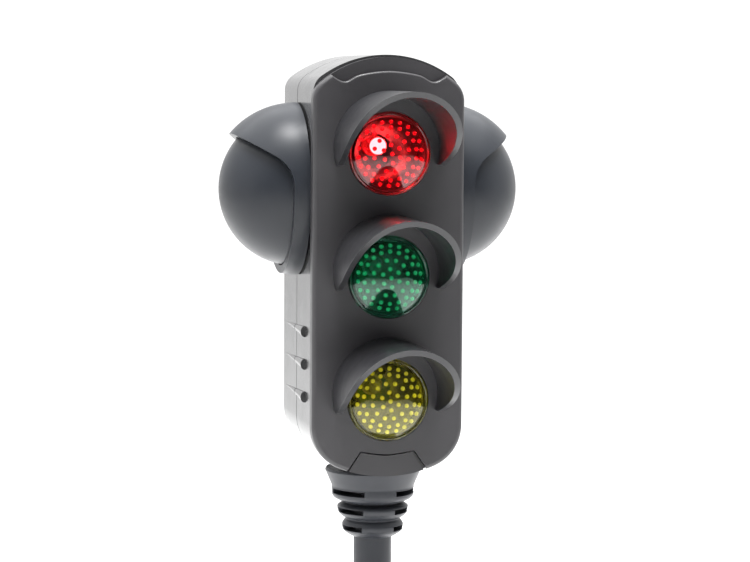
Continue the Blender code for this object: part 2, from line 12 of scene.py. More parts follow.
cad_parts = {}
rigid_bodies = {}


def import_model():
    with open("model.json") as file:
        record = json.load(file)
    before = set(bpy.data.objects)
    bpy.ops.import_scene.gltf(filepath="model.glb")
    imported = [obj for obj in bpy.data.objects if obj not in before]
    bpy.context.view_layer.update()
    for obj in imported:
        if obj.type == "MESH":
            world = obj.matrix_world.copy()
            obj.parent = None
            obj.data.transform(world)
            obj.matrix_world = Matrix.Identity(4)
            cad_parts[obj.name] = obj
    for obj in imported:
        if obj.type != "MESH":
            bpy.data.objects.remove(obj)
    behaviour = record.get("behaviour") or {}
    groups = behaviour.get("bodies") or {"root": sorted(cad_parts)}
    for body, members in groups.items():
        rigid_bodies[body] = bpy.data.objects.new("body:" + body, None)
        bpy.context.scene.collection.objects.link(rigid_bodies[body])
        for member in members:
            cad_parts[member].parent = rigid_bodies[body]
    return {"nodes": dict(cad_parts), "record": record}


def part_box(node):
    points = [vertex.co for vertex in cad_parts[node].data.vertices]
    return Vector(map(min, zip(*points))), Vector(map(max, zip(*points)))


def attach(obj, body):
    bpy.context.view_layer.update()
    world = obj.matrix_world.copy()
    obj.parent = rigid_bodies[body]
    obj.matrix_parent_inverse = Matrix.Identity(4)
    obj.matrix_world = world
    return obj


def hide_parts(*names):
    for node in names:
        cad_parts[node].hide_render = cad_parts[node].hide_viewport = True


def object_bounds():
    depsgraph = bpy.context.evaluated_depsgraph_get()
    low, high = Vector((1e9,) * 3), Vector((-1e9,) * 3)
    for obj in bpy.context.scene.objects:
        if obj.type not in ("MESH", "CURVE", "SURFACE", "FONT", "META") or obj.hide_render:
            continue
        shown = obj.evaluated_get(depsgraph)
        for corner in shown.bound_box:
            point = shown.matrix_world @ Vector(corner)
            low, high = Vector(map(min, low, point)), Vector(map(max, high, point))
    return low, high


for thing in list(bpy.data.objects):
    bpy.data.objects.remove(thing, do_unlink=True)
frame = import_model()
cad_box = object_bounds()

MM = 0.001
BODY = "root"


def place_of(node):
    """A CAD node's lowest corner, highest corner and middle, in millimetres."""
    low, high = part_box(node)
    return low / MM, high / MM, (low + high) / 2 / MM


# Places, from the frame
PANEL_LOW, PANEL_HIGH, _ = place_of("front_panel")
FRONT = PANEL_LOW.y                        # front plane of the panel
PANEL_BACK = PANEL_HIGH.y
COLOURS = ("red", "green", "yellow")
LIT = "red"
LENS_Z = {colour: place_of("lens_" + colour)[2].z for colour in COLOURS}
SEAM = (place_of("housing_front")[1].y + place_of("housing_rear")[0].y) / 2
BOOT_Y = place_of("strain_relief")[2].y
BOOT_END = place_of("strain_relief")[0].z
HANK_TOP = place_of("cable_hank")[1].z
TAIL_END = place_of("cable_tail")[0].z

# The CAD's own dimensions, in millimetres
PANEL_SHAPE = dict(half=13.6, top=37.0, arch=18.7, shoulder=4.4, bottom=-37.2, belly=23.0, hip=7.9)
HOUSE_SHAPE = dict(half=13.1, top=37.4, arch=20.0, shoulder=3.4, bottom=-36.8, belly=22.6, hip=7.5)
HOUSE_HALF = HOUSE_SHAPE["half"]
WALL = 1.5
GAP = 0.3
PANEL_ROUND, REAR_ROUND = 0.8, 2.4
TOP_DEEP, LOW_DEEP = 1.2, 0.9              # the panel's two recesses
LENS_R = 7.25
LENS_BULGE = 3.2
FLANGE_R = 8.4
FLANGE_FRONT, FLANGE_BACK = -1.5, -2.3     # heights of the lens's flange, behind the panel's front
POCKET_R, POCKET_DEEP = 8.7, 1.2
VISOR_OUT = 10.0
VISOR_WALL = 1.0
VISOR_RISE = 1.0
VISOR_LONG = 20.3
VISOR_TIP = -3.2
DOME_X, DOME_Z, DOME_R, HOOD_R = 13.4, 13.2, 14.0, 15.6
DOME_WALL, HOOD_WALL = 1.3, 1.4
RIB_HEIGHTS = (-12.1, -18.0, -23.9)
RIB_FRONT, RIB_BACK = -23.8, -4.4          # the side walls' ribs, from blunt end to thin end
SLOT_HALF = 0.45                           # half the height of the boot's slots
BOOT_RIB_X, BOOT_RIB_Y = 2.9, 0.5          # half widths that the slots leave for the lengthwise ribs
BOOT_CORE, BOOT_TAPER = 4.4, 0.35          # core at the first slot, and how much thinner at each next one
POSTS = ((8.5, 31.0), (8.5, -30.7))
BOARD_POSTS = ((-8.0, 9.2), (8.0, -12.5))
BOARD_FRONT = -19.4

# Details that the looks add, or draw a little differently from the CAD, in millimetres
LIP_R = 0.42                               # the upper recess's rolled lip
GROOVE_WIDE, GROOVE_DEEP = 0.38, 1.9       # round the lower recess
LENS_RIM = 6.75                            # where the lens's bulge meets its rim
RIM_OUT = 0.45                             # how far the rim stands off the panel
RIM_ROUND = 0.32
INNER_RIM = 6.1
INNER_BULGE = LENS_BULGE - 0.95
DOT_PITCH = 1.6
DOT_R = 0.38
BOOT_SLOTS = (-41.3, -44.8, -48.05)

# The cable's route: two turns of a tied hank below the head
CABLE_D = 7.0
HANK_WAVE = 16 * CABLE_D
LOOP_R = 3 * CABLE_D
WAIST = 0.55 * CABLE_D
LAYER = 1.05 * CABLE_D
TURNS = 2
HANK_ROOM = 0.2
LOOP_TOP = HANK_TOP - HANK_ROOM - CABLE_D / 2 - LOOP_R
LOOP_LOW = LOOP_TOP - HANK_WAVE
CABLE_STEP = 1.5                           # between the points that the cable's line is drawn through
DRIFT_FROM = -70                           # where the run starts to lean over to the waist

# Camera, from the photograph's viewing angle
VIEW_AZIMUTH, VIEW_DOWN, VIEW_ROLL = math.radians(-12.0), math.radians(4.69), math.radians(0.35)
VIEW_DISTANCE = 0.4463                     # along the view, to the middle of the panel's front
VIEW_LEFT, VIEW_BELOW = 0.00241, 0.00232   # how far the view's middle passes from that point
LENS_MM, SENSOR_MM = 121.73, 36.0


# ---- camera ----

def make_camera():
    right = Vector((math.cos(VIEW_AZIMUTH), math.sin(VIEW_AZIMUTH), 0))
    ahead = Vector((-math.sin(VIEW_AZIMUTH) * math.cos(VIEW_DOWN),
                    math.cos(VIEW_AZIMUTH) * math.cos(VIEW_DOWN), -math.sin(VIEW_DOWN)))
    up = right.cross(ahead)
    turn = Matrix((right, up, -ahead)).transposed() @ Matrix.Rotation(VIEW_ROLL, 3, "Z")
    data = bpy.data.cameras.new("camera")
    data.lens, data.sensor_width = LENS_MM, SENSOR_MM
    data.clip_start = 0.01
    camera = bpy.data.objects.new("camera", data)
    aim = Vector((0, FRONT * MM, 0)) - VIEW_LEFT * right - VIEW_BELOW * up
    camera.location = aim - VIEW_DISTANCE * ahead
    camera.rotation_euler = turn.to_euler()
    bpy.context.scene.collection.objects.link(camera)
    bpy.context.scene.camera = camera


# ---- materials ----

def noise(tree, coords, scale, detail=2.0):
    made = tree.nodes.new("ShaderNodeTexNoise")
    made.inputs["Scale"].default_value = scale
    made.inputs["Detail"].default_value = detail
    tree.links.new(coords.outputs["Object"], made.inputs["Vector"])
    return made


def mapped(tree, source, low, high):
    """A noise's value, spread over low to high."""
    made = tree.nodes.new("ShaderNodeMapRange")
    made.inputs["From Min"].default_value, made.inputs["From Max"].default_value = 0.3, 0.7
    made.inputs["To Min"].default_value, made.inputs["To Max"].default_value = low, high
    tree.links.new(source, made.inputs["Value"])
    return made.outputs["Result"]


def finish(name, colour, roughness, metallic=0.0, vary=0.10, rough_vary=0.04, grain=2500.0, bump=0.06,
           ior=1.5, clear=0.0, coat=0.0, sheen=0.0, glow=None):
    """A Principled material whose colour, roughness and fine grain vary over the surface."""
    made = bpy.data.materials.new(name)
    made.use_nodes = True
    tree = made.node_tree
    shader = tree.nodes["Principled BSDF"]
    coords = tree.nodes.new("ShaderNodeTexCoord")
    shader.inputs["Metallic"].default_value = metallic
    shader.inputs["IOR"].default_value = ior
    shader.inputs["Transmission Weight"].default_value = clear
    shader.inputs["Coat Weight"].default_value = coat
    shader.inputs["Coat Roughness"].default_value = 0.08
    shader.inputs["Sheen Weight"].default_value = sheen
    blotch = noise(tree, coords, 90.0, 4.0)
    tint = tree.nodes.new("ShaderNodeMix")
    tint.data_type = "RGBA"
    tint.inputs[6].default_value = (*[c * (1 - vary) for c in colour], 1)
    tint.inputs[7].default_value = (*[min(1.0, c * (1 + vary)) for c in colour], 1)
    tree.links.new(mapped(tree, blotch.outputs["Fac"], 0, 1), tint.inputs[0])
    tree.links.new(tint.outputs[2], shader.inputs["Base Color"])
    smear = noise(tree, coords, 260.0, 3.0)
    smooth, rough = max(0.0, roughness - rough_vary), roughness + rough_vary
    tree.links.new(mapped(tree, smear.outputs["Fac"], smooth, rough), shader.inputs["Roughness"])
    if bump:
        fine = noise(tree, coords, grain, 2.0)
        raised = tree.nodes.new("ShaderNodeBump")
        raised.inputs["Strength"].default_value = bump
        raised.inputs["Distance"].default_value = 0.00005
        tree.links.new(fine.outputs["Fac"], raised.inputs["Height"])
        tree.links.new(raised.outputs["Normal"], shader.inputs["Normal"])
    # Emission: the lamps' own light, and on the lens dots a painted glow.
    if glow:
        shader.inputs["Emission Color"].default_value = (*glow[0], 1)
        shader.inputs["Emission Strength"].default_value = glow[1]
    return made


def make_finishes():
    clear_tints = dict(red=(0.80, 0.03, 0.05), green=(0.10, 0.72, 0.42), yellow=(0.88, 0.82, 0.10))
    dot_tints = dict(red=(0.95, 0.12, 0.18), green=(0.30, 0.90, 0.62), yellow=(0.92, 0.92, 0.40))
    made = {
        "panel_plastic": finish("panel_plastic", (0.029, 0.028, 0.030), 0.36, bump=0.12),
        "housing_plastic": finish("housing_plastic", (0.034, 0.034, 0.035), 0.16, bump=0.03, rough_vary=0.03),
        "visor_plastic": finish("visor_plastic", (0.016, 0.016, 0.018), 0.36, bump=0, ior=1.45),
        "dome_plastic": finish("dome_plastic", (0.016, 0.018, 0.022), 0.34, bump=0, ior=1.33),
        "cable_jacket": finish("cable_jacket", (0.026, 0.028, 0.033), 0.40, bump=0.06, grain=1800, ior=1.38),
        "reflector": finish("reflector", (0.12, 0.12, 0.12), 0.30, metallic=1.0, bump=0.05),
        "led_lit_red": finish("led_lit_red", (1.0, 0.30, 0.30), 0.1, bump=0, glow=((1.0, 0.10, 0.08), 0.5)),
        "led_spark": finish("led_spark", (1.0, 0.90, 0.85), 0.2, bump=0, glow=((1.0, 1.0, 0.66), 32.0)),
        "led_clear": finish("led_clear", (0.85, 0.85, 0.82), 0.06, bump=0, clear=0.7),
        "board": finish("board", (0.02, 0.13, 0.05), 0.35, vary=0.2, grain=600, bump=0.2, coat=0.3),
        "chip": finish("chip", (0.02, 0.02, 0.02), 0.55, grain=3000, bump=0.2),
        "capacitor": finish("capacitor", (0.70, 0.70, 0.72), 0.3, metallic=1.0),
        "screw_steel": finish("screw_steel", (0.56, 0.56, 0.55), 0.28, metallic=1.0, grain=1500),
        "wire": finish("wire", (0.40, 0.03, 0.03), 0.35),
        "tie": finish("tie", (0.015, 0.015, 0.016), 0.75, grain=1600, bump=0.6, sheen=0.3),
        "plug_metal": finish("plug_metal", (0.52, 0.52, 0.52), 0.28, metallic=1.0, grain=900, bump=0.04),
        "plug_white": finish("plug_white", (0.78, 0.78, 0.76), 0.35),
        "contact_gold": finish("contact_gold", (0.85, 0.62, 0.26), 0.2, metallic=1.0),
    }
    for colour in COLOURS:
        # The dots' emission is painted light, not a lamp: a painted glow that makes the bumps read bright.
        # Behind the lit lamp the painted glow is stronger and the dots are clearer.
        clear, glow = (0.85, 0.5) if colour == LIT else (0.35, 0.12)
        made[colour + "_lens"] = finish(colour + "_lens", clear_tints[colour], 0.02, vary=0.03,
                                        rough_vary=0.01, bump=0, clear=0.97, ior=1.49)
        made[colour + "_dots"] = finish(colour + "_dots", dot_tints[colour], 0.2, vary=0.05,
                                        bump=0, clear=clear, glow=(dot_tints[colour], glow))
    return made


# ---- building ----

def link(thing):
    bpy.context.scene.collection.objects.link(thing)
    return thing


def part(name, thing, slot, nodes=(), finish_name=None, body=BODY):
    """Names a finished piece, gives it its material, hangs it on its body and hides the CAD parts that it
    stands for.
    """
    thing.name = name
    thing.data.materials.clear()
    thing.data.materials.append(FINISHES[finish_name or slot])
    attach(thing, body)
    if nodes:
        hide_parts(*nodes)
    return thing


def settle(thing):
    """Applies an object's modifiers and its place, removes its cutters, and closes small seams."""
    bpy.context.view_layer.update()
    mesh = bpy.data.meshes.new_from_object(thing.evaluated_get(bpy.context.evaluated_depsgraph_get()))
    tools = [step.object for step in thing.modifiers if step.type == "BOOLEAN"]
    where, name = thing.matrix_world.copy(), thing.name
    bpy.data.objects.remove(thing, do_unlink=True)
    for tool in tools:
        bpy.data.objects.remove(tool, do_unlink=True)
    mesh.transform(where)
    net = bmesh.new()
    net.from_mesh(mesh)
    bmesh.ops.remove_doubles(net, verts=net.verts, dist=1e-6)
    net.to_mesh(mesh)
    net.free()
    return link(bpy.data.objects.new(name, mesh))


def soften(thing, width=0.0, segments=3, angle=32):
    """Rounds the sharp edges by width, and shades the rest smooth."""
    thing.data.shade_smooth()
    thing.data.set_sharp_from_angle(angle=math.radians(angle))
    if width:
        bevel = thing.modifiers.new("round", "BEVEL")
        bevel.width, bevel.segments = width * MM, segments
        bevel.limit_method, bevel.angle_limit = "ANGLE", math.radians(angle)
        bevel.miter_outer = "MITER_ARC"
    weigh = thing.modifiers.new("flat_faces", "WEIGHTED_NORMAL")
    weigh.keep_sharp = True
    return thing


def boolean(target, tool, operation):
    step = target.modifiers.new(operation.lower(), "BOOLEAN")
    step.operation, step.solver, step.object = operation, "EXACT", tool
    tool.hide_render = True


def cut(target, *tools):
    for tool in tools:
        boolean(target, tool, "DIFFERENCE")


def join(target, *tools):
    for tool in tools:
        boolean(target, tool, "UNION")


def arc(centre, radius, start, end, count):
    """Points on an arc in X and Z, with angles in radians from straight up towards +X."""
    return [(centre[0] + radius * math.sin(start + (end - start) * i / count),
             centre[1] + radius * math.cos(start + (end - start) * i / count)) for i in range(count + 1)]


def bowed(start, pull, end, count):
    """Points on a quadratic curve from start to end, drawn towards the point pull."""
    return [tuple((1 - t) ** 2 * a + 2 * t * (1 - t) * b + t ** 2 * c for a, b, c in zip(start, pull, end))
            for t in (i / count for i in range(count + 1))]


def through(points, count):
    """A smooth run of points through the given ones."""
    ends = [Vector(points[0])] + [Vector(p) for p in points] + [Vector(points[-1])]
    made = []
    for before, here, there, after in zip(ends, ends[1:], ends[2:], ends[3:]):
        for i in range(count):
            t = i / count
            square, cube = 2 * before - 5 * here + 4 * there - after, 3 * here - before - 3 * there + after
            made.append(0.5 * (2 * here + (there - before) * t + square * t ** 2 + cube * t ** 3))
    return [tuple(p) for p in made] + [tuple(points[-1])]


def end_of_tongue(half, tip, bend, corner):
    """Right half of a rounded end: from its tip on the centre line to the straight side."""
    middle = tip - bend
    corner_at = (half - corner, middle + math.sqrt((bend - corner) ** 2 - (half - corner) ** 2))
    meet = math.atan2(corner_at[0], corner_at[1] - middle)
    return arc((0, middle), bend, 0, meet, 20) + arc(corner_at, corner, meet, math.pi / 2, 14)[1:]


def tongue(half, top, arch, shoulder, bottom, belly, hip, inset=0.0):
    """Outline with straight sides, an arched top and a curved bottom, all tangent."""
    upper = end_of_tongue(half - inset, top - inset, arch - inset, shoulder - inset)
    lower = end_of_tongue(half - inset, -bottom - inset, belly - inset, hip - inset)
    right = upper + [(x, -z) for x, z in reversed(lower)]
    return right + [(-x, z) for x, z in reversed(right[1:-1])]


def mesh_of(name, points, faces):
    """An object from points in millimetres, with its faces turned outwards."""
    mesh = bpy.data.meshes.new(name)
    mesh.from_pydata([Vector(p) * MM for p in points], [], faces)
    net = bmesh.new()
    net.from_mesh(mesh)
    bmesh.ops.recalc_face_normals(net, faces=net.faces)
    net.to_mesh(mesh)
    net.free()
    return link(bpy.data.objects.new(name, mesh))


def prism(name, points, front, back):
    """A flat outline in X and Z, carried from y = front to y = back."""
    count = len(points)
    corners = [(x, y, z) for y in (front, back) for x, z in points]
    sides = [(i, (i + 1) % count, count + (i + 1) % count, count + i) for i in range(count)]
    return mesh_of(name, corners, [tuple(range(count)), tuple(range(2 * count - 1, count - 1, -1))] + sides)


def band(first, second, count):
    """The faces between two rings of count points, given by their places in the list of rings."""
    a, b = first * count, second * count
    return [(a + i, a + (i + 1) % count, b + (i + 1) % count, b + i) for i in range(count)]


def skin(name, points, count):
    """A solid over rings of count points each, closed at both ends."""
    faces = [face for r in range(len(points) // count - 1) for face in band(r, r + 1, count)]
    ends = [tuple(range(count)), tuple(range(len(points) - count, len(points)))]
    return mesh_of(name, points, faces + ends)


def lofted(name, levels):
    """A solid through flat outlines in X and Z, each with its own y."""
    return skin(name, [(x, y, z) for y, outline in levels for x, z in outline], len(levels[0][1]))


def rounded_box(half_x, half_y, corner):
    """Outline of a rectangle with round corners, round the origin."""
    return [(sx * (half_x - corner) + corner * math.sin(a + turn * math.pi / 2),
             sy * (half_y - corner) + corner * math.cos(a + turn * math.pi / 2))
            for turn, (sx, sy) in enumerate(((1, 1), (1, -1), (-1, -1), (-1, 1)))
            for a in fan(math.pi / 2, 8)]


def box(name, low, high):
    (x0, y0, z0), (x1, y1, z1) = low, high
    return prism(name, [(x0, z0), (x1, z0), (x1, z1), (x0, z1)], y0, y1)


def rod(name, radius, start, end, sides=48, radius_end=None):
    """A cylinder or cone from start to end."""
    start, end = Vector(start) * MM, Vector(end) * MM
    bpy.ops.mesh.primitive_cone_add(
        vertices=sides, radius1=radius * MM, radius2=(radius if radius_end is None else radius_end) * MM,
        depth=(end - start).length, location=(start + end) / 2,
        rotation=(end - start).to_track_quat("Z", "Y").to_euler())
    bpy.context.object.name = name
    return bpy.context.object


AXES = {"Z": Matrix.Identity(4),
        "Y": Matrix.Rotation(-math.pi / 2, 4, "X"), "-Y": Matrix.Rotation(math.pi / 2, 4, "X"),
        "X": Matrix.Rotation(math.pi / 2, 4, "Y"), "-X": Matrix.Rotation(-math.pi / 2, 4, "Y")}


def turned(name, profile, centre, axis, steps=96):
    """A profile of (radius, height) turned about an axis. It is closed, or starts and ends on the axis."""
    rings, points, faces = [], [], []
    for r, h in profile:
        if r < 1e-6:
            rings.append([len(points)] * steps)
            points.append((0, 0, h))
        else:
            rings.append(list(range(len(points), len(points) + steps)))
            points += [(r * math.cos(math.tau * i / steps), r * math.sin(math.tau * i / steps), h)
                       for i in range(steps)]
    pairs = list(zip(rings, rings[1:]))
    if profile[0][0] > 1e-6:
        pairs.append((rings[-1], rings[0]))
    for a, b in pairs:
        for i in range(steps):
            j = (i + 1) % steps
            faces.append(tuple(dict.fromkeys((a[i], a[j], b[j], b[i]))))
    thing = mesh_of(name, points, faces)
    thing.data.transform(Matrix.Translation(Vector(centre) * MM) @ AXES[axis])
    return thing


def fan(end, count, start=0.0):
    return [start + (end - start) * i / count for i in range(count + 1)]


# ---- the cable ----

def half_turn_side(t):
    """How far a side of the hank stands from the middle, t of the way along it."""
    return WAIST + (LOOP_R - WAIST) / 2 * (1 + math.cos(math.tau * t))


def eased(t):
    return t * t * (3 - 2 * t)


def cable_line():
    """Points down from the boot, twice round the hank and down to the plug, in millimetres."""
    y, line = BOOT_Y, []
    middle = (LOOP_TOP + LOOP_LOW) / 2
    start, count = BOOT_END, 60
    for i in range(count):
        z = start + (middle - start) * i / count
        share = max(0.0, min(1.0, (DRIFT_FROM - z) / (DRIFT_FROM - middle)))
        line.append((WAIST * eased(share), y, z))
    sides = int(HANK_WAVE / CABLE_STEP)
    bends = int(math.pi * LOOP_R / CABLE_STEP)
    for _ in range(TURNS):
        for i in range(sides // 2, sides):
            line.append((half_turn_side(i / sides), y, LOOP_TOP - HANK_WAVE * i / sides))
        for i in range(bends):
            a = math.pi * i / bends
            line.append((LOOP_R * math.cos(a), y, LOOP_LOW - LOOP_R * math.sin(a)))
        for i in range(sides):
            line.append((-half_turn_side(i / sides), y - LAYER * eased(i / sides),
                         LOOP_LOW + HANK_WAVE * i / sides))
        y -= LAYER
        for i in range(bends):
            a = math.pi * i / bends
            line.append((-LOOP_R * math.cos(a), y, LOOP_TOP + LOOP_R * math.sin(a)))
        for i in range(sides // 2):
            line.append((half_turn_side(i / sides), y, LOOP_TOP - HANK_WAVE * i / sides))
    for i in range(count + 1):
        line.append((WAIST, y, middle + (TAIL_END - middle) * i / count))
    return line


def make_cable():
    line = cable_line()
    data = bpy.data.curves.new("cable", "CURVE")
    data.dimensions = "3D"
    data.bevel_depth, data.bevel_resolution, data.use_fill_caps = CABLE_D / 2 * MM, 6, True
    spline = data.splines.new("POLY")
    spline.points.add(len(line) - 1)
    for knot, point in zip(spline.points, line):
        knot.co = (*(Vector(point) * MM), 1)
    spline.use_smooth = True
    part("cable", link(bpy.data.objects.new("cable", data)), "cable_jacket",
         ("cable_run", "cable_hank", "cable_tail"))


def make_tie():
    """A soft closed strap round the hank's waist."""
    low, high, middle = place_of("cable_tie")
    outline = rounded_box((high.x - low.x) / 2 - 0.1, (high.y - low.y) / 2 - 0.1, 3.6)
    thick, edge = 1.1, 0.3
    rows = [(0.0, edge), (edge, 0.0), (high.z - low.z - edge, 0.0), (high.z - low.z, edge)]
    points, faces = [], []
    profile = [(0.0, z + low.z, i) for z, i in rows] + [(thick, z + low.z, -i) for z, i in reversed(rows)]
    for inset, z, ease in profile:
        for x, y in outline:
            length = math.hypot(x, y)
            shrink = 1 - (inset + ease) / length
            points.append((middle.x + x * shrink, middle.y + y * shrink, z))
    for r in range(len(profile)):
        faces += band(r, (r + 1) % len(profile), len(outline))
    strap = mesh_of("cable_tie_strap", points, faces)
    return part("cable_tie_strap", soften(strap, 0.15, 2), "tie", ("cable_tie",))


# ---- the head ----

def make_panel():
    levels = [(PANEL_BACK, 0.0)] + [(FRONT + PANEL_ROUND * (1 - math.sin(a)), PANEL_ROUND * (1 - math.cos(a)))
                                    for a in fan(math.pi / 2, 6)]
    panel = lofted("panel", [(y, tongue(**PANEL_SHAPE, inset=inset)) for y, inset in levels])
    # The upper recess has a rounded lip, and the lower one a narrow groove round its edge
    lip = through([(-11.6, 34.7), (-8.2, 32.7), (-5.2, 33.9), (0, 34.55), (5.2, 33.9), (8.2, 32.7),
                   (11.6, 34.7)], 8)
    rolled = [(FRONT - 1, LIP_R)] + [(FRONT + LIP_R * (1 - math.cos(a)), LIP_R * (1 - math.sin(a)))
                                     for a in fan(math.pi / 2, 5)] + [(FRONT + TOP_DEEP, 0.0)]
    above = [(11.6, 42), (-11.6, 42)]
    smile = through([(-4.9, -32.5), (0, -33.1), (4.9, -32.5)], 8)
    edge = [(-8.0, -37.0)] + smile + [(8.0, -37.0)]
    groove = edge + [(0.95 * x, z - GROOVE_WIDE) for x, z in reversed(edge)]
    cut(panel, lofted("top_recess", [(y, [(x, z - drop) for x, z in lip] + above) for y, drop in rolled]),
        prism("low_recess", smile + [(8.0, -37.0), (8.0, -41), (-8.0, -41), (-8.0, -37.0)],
              FRONT - 1, FRONT + LOW_DEEP),
        prism("groove", groove, FRONT - 1, FRONT + GROOVE_DEEP))
    for colour in COLOURS:
        z = LENS_Z[colour]
        cut(panel, rod("hole", LENS_R + 0.12, (0, FRONT - 1, z), (0, PANEL_BACK + 1, z), sides=96),
            rod("pocket", POCKET_R, (0, PANEL_BACK - POCKET_DEEP, z), (0, PANEL_BACK + 1, z), sides=96))
    return part("panel", soften(settle(panel)), "panel_plastic", ("front_panel",))


def visor_depth(height):
    """How far out of the panel the visor's curved edge is, at a height from the visor's axis."""
    low, pull, high = VISOR_TIP, 0.5, VISOR_OUT
    a, b, c = low - 2 * pull + high, 2 * (pull - low), low - height
    t = max(0.0, min(1.0, (-b + math.sqrt(max(0.0, b * b - 4 * a * c))) / (2 * a)))
    return (1 - t) ** 2 * 0.9 + 2 * t * (1 - t) * 16.0 + t ** 2 * VISOR_LONG


def make_visor(colour):
    """A tube's upper part, from one lower tip over the top to the other, with a rounded rim."""
    axis_z = LENS_Z[colour] + VISOR_RISE
    tip = math.asin(VISOR_TIP / VISOR_OUT)
    radii = (VISOR_OUT, VISOR_OUT - VISOR_WALL)
    points, steps = [], 10
    for a in fan(math.pi - tip, 120, tip):
        outer, inner = [(r * math.cos(a), axis_z + r * math.sin(a), visor_depth(r * math.sin(a)))
                        for r in radii]
        points += [(outer[0], FRONT - outer[2] * i / steps, outer[1]) for i in range(steps + 1)]
        points += [(inner[0], FRONT - inner[2] * i / steps, inner[1]) for i in range(steps, -1, -1)]
    visor = soften(skin("visor", points, 2 * (steps + 1)), 0.22, 3, angle=45)
    return part(f"visor_{colour}_shade", visor, "panel_plastic", ("visor_" + colour,), "visor_plastic")


def lens_sphere(rim_r, bulge):
    """Radius of the sphere whose cap has this rim and this height."""
    return (rim_r ** 2 + bulge ** 2) / (2 * bulge)


def make_lens(colour):
    z = LENS_Z[colour]
    bulge = LENS_BULGE - RIM_OUT
    sphere, inner = lens_sphere(LENS_RIM, bulge), lens_sphere(INNER_RIM, INNER_BULGE)
    outside = [(sphere * math.sin(a), LENS_BULGE - sphere * (1 - math.cos(a)))
               for a in fan(math.asin(LENS_RIM / sphere), 28)]
    rim = [(LENS_R - RIM_ROUND + RIM_ROUND * math.sin(a), RIM_OUT - RIM_ROUND + 0.42 * math.cos(a))
           for a in fan(math.pi / 2, 6)]
    inside = [(inner * math.sin(a), INNER_BULGE - inner * (1 - math.cos(a)))
              for a in fan(math.asin(INNER_RIM / inner), 24)]
    profile = outside + rim + [(LENS_R, FLANGE_FRONT), (FLANGE_R, FLANGE_FRONT), (FLANGE_R, FLANGE_BACK),
                               (INNER_RIM, FLANGE_BACK)] + inside[::-1]
    lens = turned("lens", profile, (0, FRONT, z), "-Y")
    soften(lens)
    part(f"lens_{colour}_bulge", lens, colour + "_lens", ("lens_" + colour,))
    make_dots(colour, inner)


def make_dots(colour, sphere):
    """Small round bumps in rings on the inside of the lens."""
    net = bmesh.new()
    rings = [(0, 1)] + [(i * DOT_PITCH / sphere, 6 * i) for i in range(1, 4)]
    rings.append((3.75 * DOT_PITCH / sphere, 22))
    for tilt, count in rings:
        for k in range(count):
            around = math.tau * k / count + 0.4 * tilt * sphere
            reach = sphere - 0.03
            at = Vector((reach * math.sin(tilt) * math.cos(around),
                         FRONT - INNER_BULGE + reach * (1 - math.cos(tilt)) + 0.03,
                         LENS_Z[colour] + reach * math.sin(tilt) * math.sin(around)))
            made = bmesh.ops.create_icosphere(net, subdivisions=3, radius=DOT_R * MM)
            lean = Vector((math.sin(tilt) * math.cos(around), -math.cos(tilt),
                           math.sin(tilt) * math.sin(around)))
            flat = Matrix.Diagonal((1, 1, 0.75, 1))
            turn = lean.to_track_quat("Z", "Y").to_matrix().to_4x4()
            placed = Matrix.Translation((at - 0.25 * lean) * MM) @ turn @ flat
            bmesh.ops.transform(net, matrix=placed, verts=made["verts"])
    mesh = bpy.data.meshes.new("dots")
    net.to_mesh(mesh)
    net.free()
    mesh.shade_smooth()
    # Their material carries the painted glow set in make_finishes.
    part(f"lens_{colour}_dots", link(bpy.data.objects.new("dots", mesh)), colour + "_lens",
         finish_name=colour + "_dots")


def make_reflector(colour):
    bowl = bowed((3.9, 22.7), (6.9, 23.6), (7.5, 28.7), 16)
    inside = bowed((3.0, 22.7), (6.3, 23.9), (6.7, 28.9), 16)
    profile = ([(7.7, 31.2), (7.7, 29.5), (8.9, 29.5), (8.9, 28.7)] + bowl[::-1] + inside + [(6.9, 31.2)])
    made = turned("reflector", profile, (0, 0, LENS_Z[colour]), "-Y")
    return part(f"reflector_{colour}_cup", soften(made), "reflector", ("reflector_" + colour,))


def make_led(colour):
    low, high, middle = place_of("led_" + colour)
    foot, tip = -high.y, -low.y
    dome = [(1.3 * math.sin(a), tip - 1.3 + 1.3 * math.cos(a)) for a in fan(math.pi / 2, 14)]
    profile = dome + [(1.45, foot + 1.0), (1.9, foot + 1.0), (1.9, foot), (0, foot)]
    made = turned("led", profile, (0, 0, middle.z), "-Y", steps=48)
    slot = "led_lit_red" if colour == LIT else "led_clear"
    if colour == LIT:
        # The bright spot where the lit chip is seen through the lamp's round tip
        spark = [(1.45 * math.sin(a), tip + 0.02 + 0.08 * math.cos(a)) for a in fan(math.pi / 2, 6)]
        spot = turned("spark", spark + [(0, tip + 0.02)], (0, 0, middle.z), "-Y", steps=48)
        part("led_red_spark", spot, slot, finish_name="led_spark")
    return part(f"led_{colour}_bulb", soften(made, 0.08), slot, ("led_" + colour,))


def rib(side, z, front, back):
    """One length of a raised tapering rib on a side wall, blunt in front and gone at its rear end."""
    start, end = [(RIB_BACK - y) / (RIB_BACK - RIB_FRONT) for y in (front, back)]
    thing = rod("rib", start, (0, front, 0), (0, back, 0), sides=40, radius_end=max(end, 0.03))
    thing.data.transform(thing.matrix_world)
    place = Matrix.Translation(Vector((side * HOUSE_HALF, 0, z)) * MM)
    thing.matrix_world = place @ Matrix.Diagonal((0.75, 1, 1, 1))
    return thing


def add_seam_details(shell, rib_front, rib_back):
    """The ribs, dome holes and cable hole that the seam divides between the two halves."""
    for side in (-1, 1):
        join(shell, *[rib(side, z, rib_front, rib_back) for z in RIB_HEIGHTS])
        cut(shell, rod("stem_hole", 2.3, (side * 10, SEAM, DOME_Z), (side * 20, SEAM, DOME_Z)))
    cut(shell, rod("cable_hole", 4.3, (0, BOOT_Y, -39), (0, BOOT_Y, -33)))


